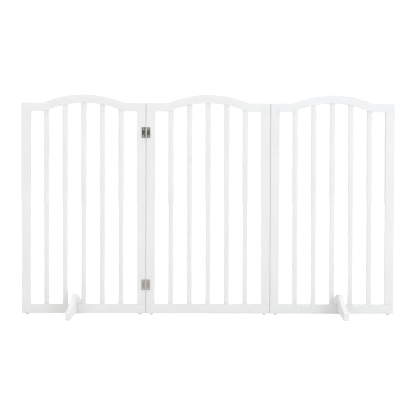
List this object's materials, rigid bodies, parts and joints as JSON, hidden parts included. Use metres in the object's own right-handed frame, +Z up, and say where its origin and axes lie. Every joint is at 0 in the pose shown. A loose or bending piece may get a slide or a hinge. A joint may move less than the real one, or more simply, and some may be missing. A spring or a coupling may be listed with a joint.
{
  "type": "folding pet gate",
  "caption": "Free-standing folding pet gate of arched wooden slat panels, joined by butt hinges, on slip-on feet.",
  "frame": {"origin": "on the floor under the middle of the flat gate: the bottom centre of the bounding box", "axes": "+X along the flat gate to the viewer's right, -Y the front, +Z up"},
  "size_m": [1.376, 0.32, 0.812],
  "materials": {
    "painted_wood": "satin white paint over wood",
    "hinge_steel": "brushed nickel plate",
    "screw_steel": "bright nickel plate",
    "glide_plastic": "matt moulded plastic",
    "dowel_wood": "bare beech"
  },
  "bodies": {
    "middle_panel": {"middle_bottom_rail": "painted_wood", "middle_top_rail": "painted_wood", "middle_stile_left": "painted_wood", "middle_stile_right": "painted_wood", "middle_slat_1": "painted_wood", "middle_slat_2": "painted_wood", "middle_slat_3": "painted_wood", "middle_slat_4": "painted_wood", "middle_slat_5": "painted_wood", "middle_dowels": "dowel_wood", "middle_glides": "glide_plastic", "left_upper_hinge_pin": "hinge_steel", "left_upper_hinge_middle_leaf": "hinge_steel", "left_upper_hinge_middle_screws": "screw_steel", "left_lower_hinge_pin": "hinge_steel", "left_lower_hinge_middle_leaf": "hinge_steel", "left_lower_hinge_middle_screws": "screw_steel", "right_upper_hinge_pin": "hinge_steel", "right_upper_hinge_middle_leaf": "hinge_steel", "right_upper_hinge_middle_screws": "screw_steel", "right_lower_hinge_pin": "hinge_steel", "right_lower_hinge_middle_leaf": "hinge_steel", "right_lower_hinge_middle_screws": "screw_steel"},
    "left_panel": {"left_bottom_rail": "painted_wood", "left_top_rail": "painted_wood", "left_stile_left": "painted_wood", "left_stile_right": "painted_wood", "left_slat_1": "painted_wood", "left_slat_2": "painted_wood", "left_slat_3": "painted_wood", "left_slat_4": "painted_wood", "left_slat_5": "painted_wood", "left_dowels": "dowel_wood", "left_glides": "glide_plastic", "left_upper_hinge_folding_leaf": "hinge_steel", "left_upper_hinge_folding_screws": "screw_steel", "left_lower_hinge_folding_leaf": "hinge_steel", "left_lower_hinge_folding_screws": "screw_steel"},
    "right_panel": {"right_bottom_rail": "painted_wood", "right_top_rail": "painted_wood", "right_stile_left": "painted_wood", "right_stile_right": "painted_wood", "right_slat_1": "painted_wood", "right_slat_2": "painted_wood", "right_slat_3": "painted_wood", "right_slat_4": "painted_wood", "right_slat_5": "painted_wood", "right_dowels": "dowel_wood", "right_glides": "glide_plastic", "right_upper_hinge_folding_leaf": "hinge_steel", "right_upper_hinge_folding_screws": "screw_steel", "right_lower_hinge_folding_leaf": "hinge_steel", "right_lower_hinge_folding_screws": "screw_steel"},
    "left_foot": {"left_foot": "painted_wood"},
    "right_foot": {"right_foot": "painted_wood"}
  },
  "joints": [
    {"name": "left_fold", "type": "hinge", "parent": "middle_panel", "child": "left_panel", "pos_m": [-0.2295, -0.0123, 0.39225], "axis": [0, 0, 1], "range_deg": [-2.5, 145]},
    {"name": "right_fold", "type": "hinge", "parent": "middle_panel", "child": "right_panel", "pos_m": [0.2295, 0.0123, 0.39225], "axis": [0, 0, 1], "range_deg": [-2.5, 145]},
    {"name": "left_foot_lift", "type": "slide", "parent": "left_panel", "child": "left_foot", "axis": [0, 0, 1], "range_m": [0, 0.045]},
    {"name": "right_foot_lift", "type": "slide", "parent": "right_panel", "child": "right_foot", "axis": [0, 0, 1], "range_m": [0, 0.045]}
  ]
}
